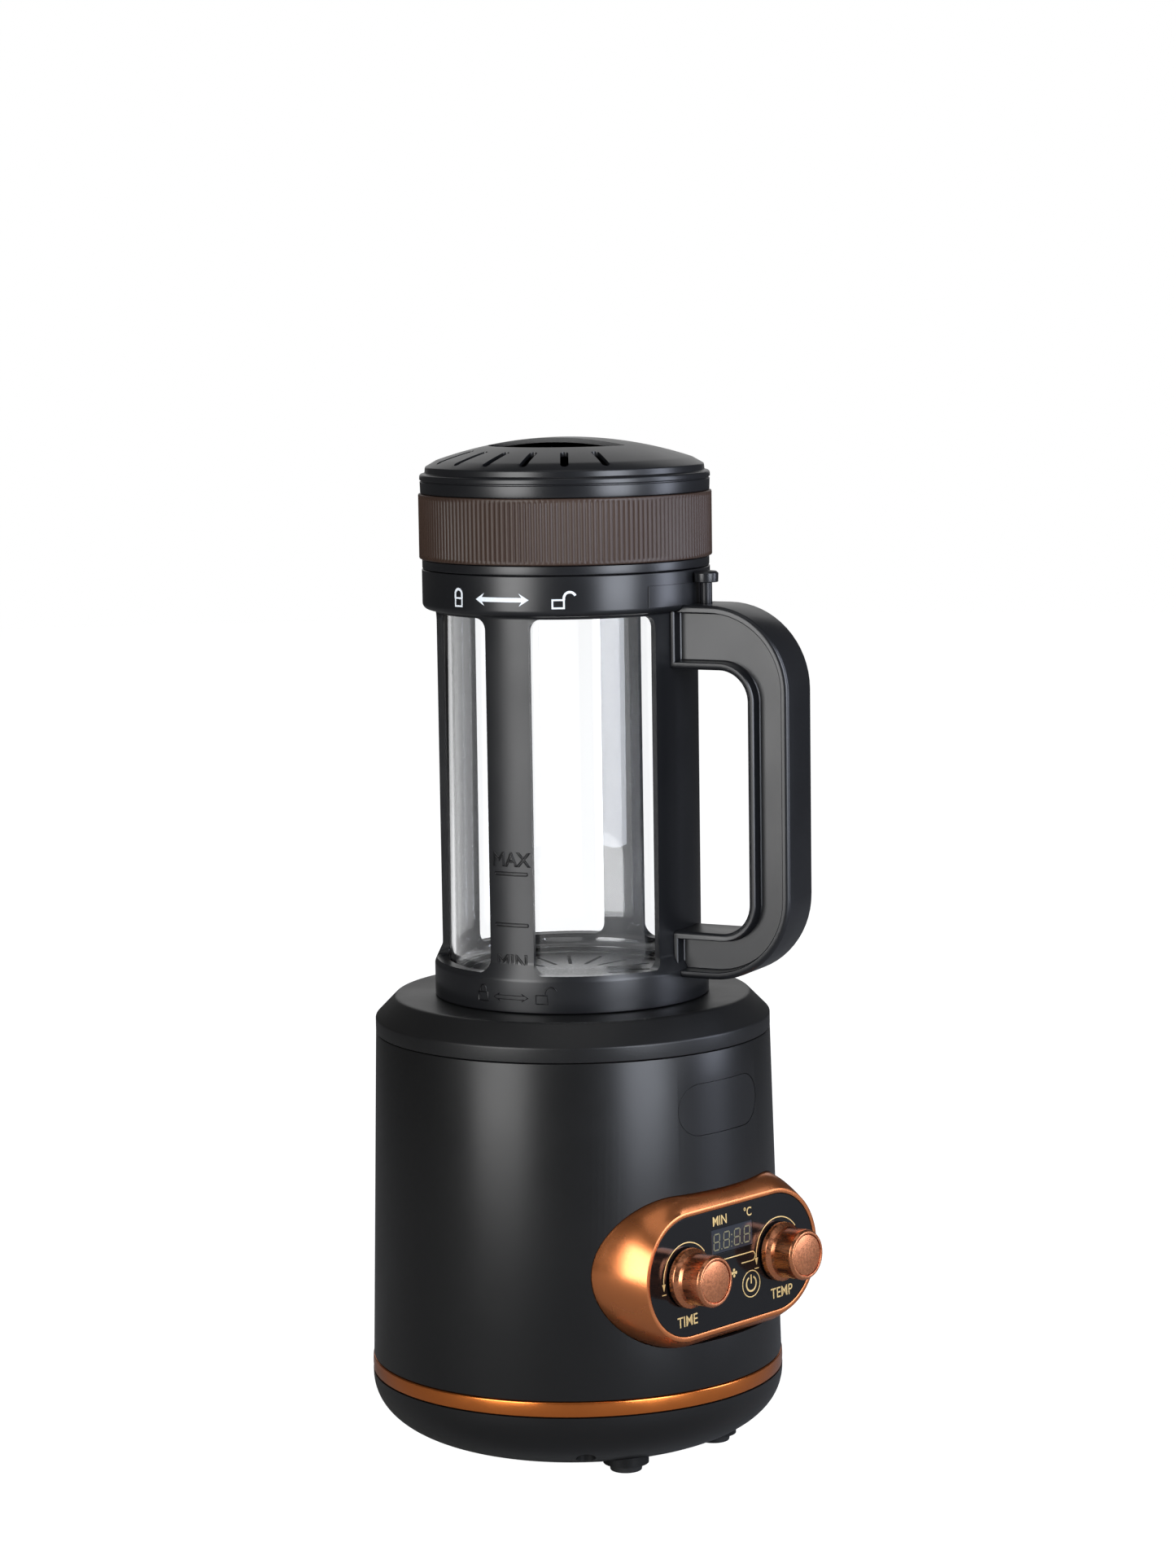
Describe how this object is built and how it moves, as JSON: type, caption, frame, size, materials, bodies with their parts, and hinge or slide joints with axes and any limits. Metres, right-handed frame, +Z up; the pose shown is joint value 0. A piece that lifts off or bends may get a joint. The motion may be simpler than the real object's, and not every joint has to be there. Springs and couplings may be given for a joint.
{
  "type": "home hot-air coffee roaster",
  "caption": "Home hot-air coffee roaster with a vented dome lid, a caged glass chamber with a side handle, and a round black base with a copper-trimmed control panel.",
  "frame": {"origin": "on the upright axis of the base, at table level, 2.1 mm under the flat middle of the pan", "axes": "+Z up, -Y is the front with the control panel, +X is to the right of someone facing the panel from the front"},
  "size_m": [0.1652, 0.1834, 0.4017],
  "materials": {
    "charcoal_plastic": "fine spark-textured moulded plastic",
    "satin_black_plastic": "satin moulded heat-proof plastic",
    "brown_plastic": "dark brown ribbed moulded plastic",
    "copper_paint": "satin metallic copper paint",
    "copper_metal": "anodised copper-coloured aluminium",
    "panel_black": "black panel with gold print",
    "display_window": "dark display window with unlit segments",
    "clear_glass": "clear heat-proof glass",
    "rubber_black": "matt black rubber",
    "silicone_grey": "soft grey silicone",
    "steel": "plain steel",
    "heating_wire": "oxidised heating wire",
    "circuit_board": "green circuit board",
    "nylon": "natural nylon",
    "mica_sheet": "mica sheet"
  },
  "bodies": {
    "base": {"base_pan": "charcoal_plastic", "foot_1": "rubber_black", "foot_2": "rubber_black", "foot_3": "rubber_black", "foot_4": "rubber_black", "pan_screw_1": "steel", "pan_screw_2": "steel", "pan_screw_3": "steel", "pan_screw_4": "steel", "trim_band": "copper_paint", "body_shell": "charcoal_plastic", "badge_plate": "satin_black_plastic", "cord_gland": "rubber_black", "deck_cover": "charcoal_plastic", "control_bezel": "copper_paint", "control_face": "panel_black", "display_module": "display_window", "touch_sensor": "circuit_board", "control_board": "circuit_board", "time_encoder": "nylon", "temp_encoder": "nylon", "motor_can": "steel", "motor_bracket": "steel", "fan_housing": "nylon", "heater_tube": "steel", "heater_frame": "mica_sheet", "heater_coil": "heating_wire", "thermal_cutout": "steel", "power_board": "circuit_board"},
    "fan": {"fan_impeller": "nylon", "motor_shaft": "steel"},
    "time_dial": {"time_knob": "copper_metal", "time_knob_cap": "copper_metal", "time_shaft": "steel"},
    "temp_dial": {"temp_knob": "copper_metal", "temp_knob_cap": "copper_metal", "temp_shaft": "steel"},
    "jar_seat": {"jar_base_seal": "silicone_grey"},
    "jar": {"cage_frame": "satin_black_plastic", "glass_chamber": "clear_glass", "chamber_gasket": "silicone_grey", "air_distributor": "steel", "jar_handle": "satin_black_plastic", "handle_screw_upper": "steel", "handle_screw_lower": "steel"},
    "lid_seat": {"lid_seal": "silicone_grey"},
    "lid": {"lid_core_ring": "satin_black_plastic", "grip_ring": "brown_plastic", "lid_dome": "satin_black_plastic", "vent_screen": "steel", "chaff_cup": "steel"},
    "button": {"lid_lock_button": "satin_black_plastic", "button_spring": "steel"}
  },
  "joints": [
    {"name": "fan_spin", "type": "hinge", "parent": "base", "child": "fan", "pos_m": [0, 0, 0.06], "axis": [0, 0, 1], "continuous": true},
    {"name": "time_turn", "type": "hinge", "parent": "base", "child": "time_dial", "pos_m": [-0.0273, -0.0835, 0.0825], "axis": [0, -0.9992, 0.0401], "continuous": true},
    {"name": "temp_turn", "type": "hinge", "parent": "base", "child": "temp_dial", "pos_m": [0.0273, -0.0835, 0.0825], "axis": [0, -0.9992, 0.0401], "continuous": true},
    {"name": "jar_lift", "type": "slide", "parent": "base", "child": "jar_seat", "axis": [0, 0, 1], "range_m": [0, 0.1]},
    {"name": "jar_twist", "type": "hinge", "parent": "jar_seat", "child": "jar", "pos_m": [0, 0, 0.18], "axis": [0, 0, 1], "range_deg": [0, 28]},
    {"name": "lid_lift", "type": "slide", "parent": "jar", "child": "lid_seat", "axis": [0, 0, 1], "range_m": [0, 0.08]},
    {"name": "lid_twist", "type": "hinge", "parent": "lid_seat", "child": "lid", "pos_m": [0, 0, 0.35], "axis": [0, 0, 1], "range_deg": [-40, 0]},
    {"name": "button_press", "type": "slide", "parent": "jar", "child": "button", "axis": [0, 0, -1], "range_m": [0, 0.0032], "stiffness_N_per_m": 600, "deforming": ["button_spring"]}
  ]
}
